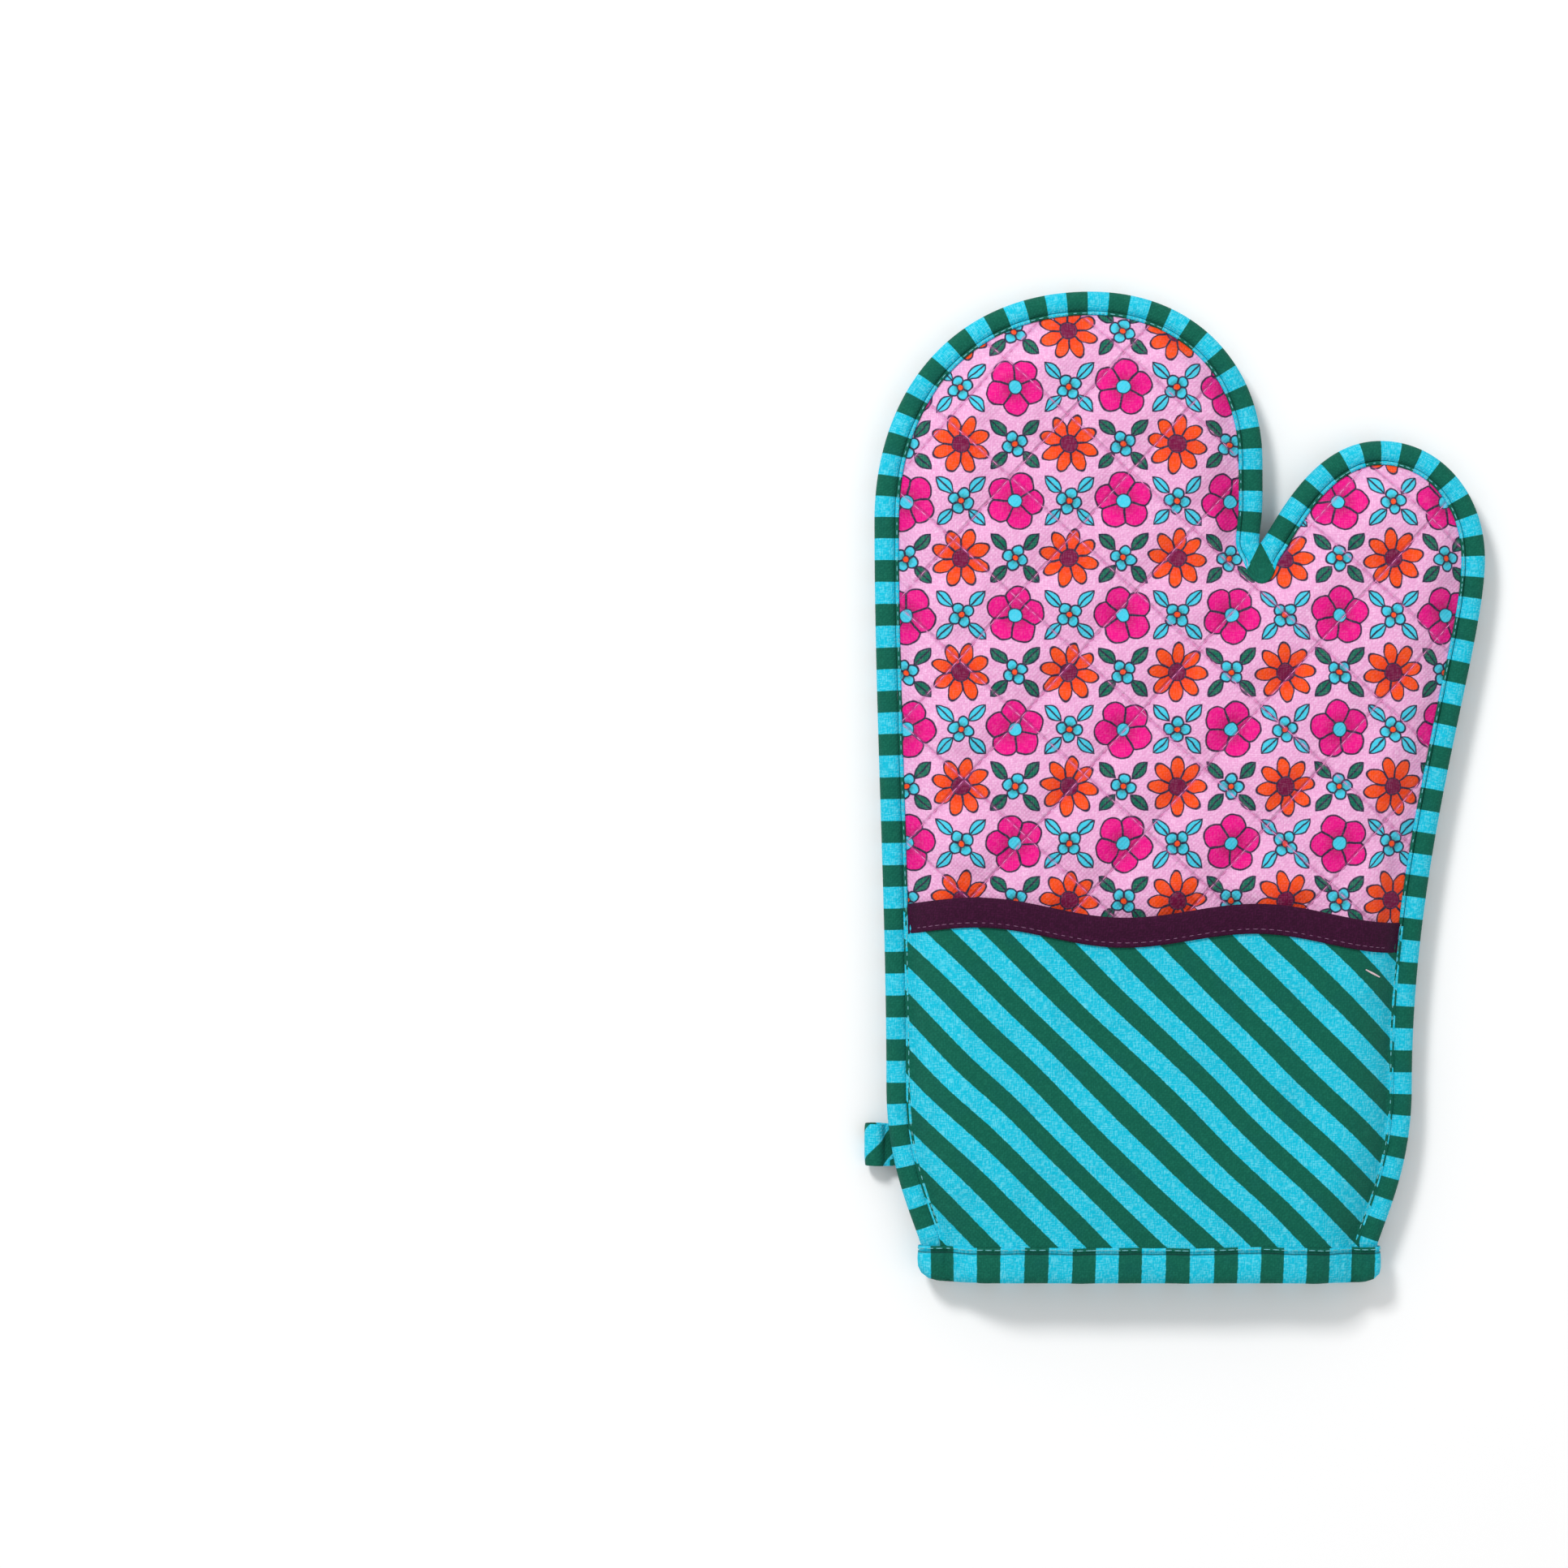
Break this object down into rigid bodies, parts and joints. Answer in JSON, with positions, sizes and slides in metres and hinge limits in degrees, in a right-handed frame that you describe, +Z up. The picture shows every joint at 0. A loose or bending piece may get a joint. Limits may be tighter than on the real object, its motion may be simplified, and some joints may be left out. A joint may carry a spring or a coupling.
{
  "type": "oven mitt",
  "caption": "Quilted fabric oven mitt with one thumb, bound edges, an open mouth, a patch pocket over the cuff and a hanging loop at the side.",
  "frame": {"origin": "on the table, under the middle of the bounding box", "axes": "+Z up through the lying mitt, +Y from the open mouth to the fingertips, +X towards the thumb"},
  "size_m": [0.2078, 0.3314, 0.0301],
  "materials": {
    "print": "plain-weave cotton with a floral print, quilted",
    "wadding": "lofted cotton wadding",
    "lining": "plain-weave cotton",
    "stripe": "plain-weave cotton with turquoise and green stripes",
    "plum": "plain-weave cotton tape"
  },
  "bodies": {
    "palm": {"front_shell_palm": "print", "back_shell_palm": "print", "front_wadding_palm": "wadding", "back_wadding_palm": "wadding", "front_lining_palm": "lining", "back_lining_palm": "lining", "edge_tape_left": "stripe", "edge_tape_right": "stripe", "edge_tape_crotch": "stripe", "mouth_tape": "stripe", "loop_tab": "stripe"},
    "fingers": {"front_shell_fingers": "print", "back_shell_fingers": "print", "front_wadding_fingers": "wadding", "back_wadding_fingers": "wadding", "front_lining_fingers": "lining", "back_lining_fingers": "lining", "edge_tape_fingers": "stripe"},
    "thumb": {"front_shell_thumb": "print", "back_shell_thumb": "print", "front_wadding_thumb": "wadding", "back_wadding_thumb": "wadding", "front_lining_thumb": "lining", "back_lining_thumb": "lining", "edge_tape_thumb": "stripe"},
    "pocket": {"pocket_panel": "stripe", "pocket_tape": "plum"},
    "loop": {"hanging_loop": "stripe"}
  },
  "joints": [
    {"name": "finger_fold", "type": "hinge", "parent": "palm", "child": "fingers", "pos_m": [-0.03, 0.08282, 0.0215], "axis": [1, 0, 0], "range_deg": [0, 50], "stiffness_Nm_per_rad": 0.05},
    {"name": "thumb_fold", "type": "hinge", "parent": "palm", "child": "thumb", "pos_m": [0.02893, 0.08282, 0.0215], "axis": [0.748, -0.6637, 0], "range_deg": [0, 45], "stiffness_Nm_per_rad": 0.05},
    {"name": "pocket_open", "type": "hinge", "parent": "palm", "child": "pocket", "pos_m": [-0.0086, -0.15295, 0.0207], "axis": [1, 0, 0], "range_deg": [0, 12], "stiffness_Nm_per_rad": 0.01},
    {"name": "loop_swing", "type": "hinge", "parent": "palm", "child": "loop", "pos_m": [-0.09689, -0.12025, 0.0044], "axis": [0, 1, 0], "range_deg": [-8, 35], "stiffness_Nm_per_rad": 0.002}
  ]
}
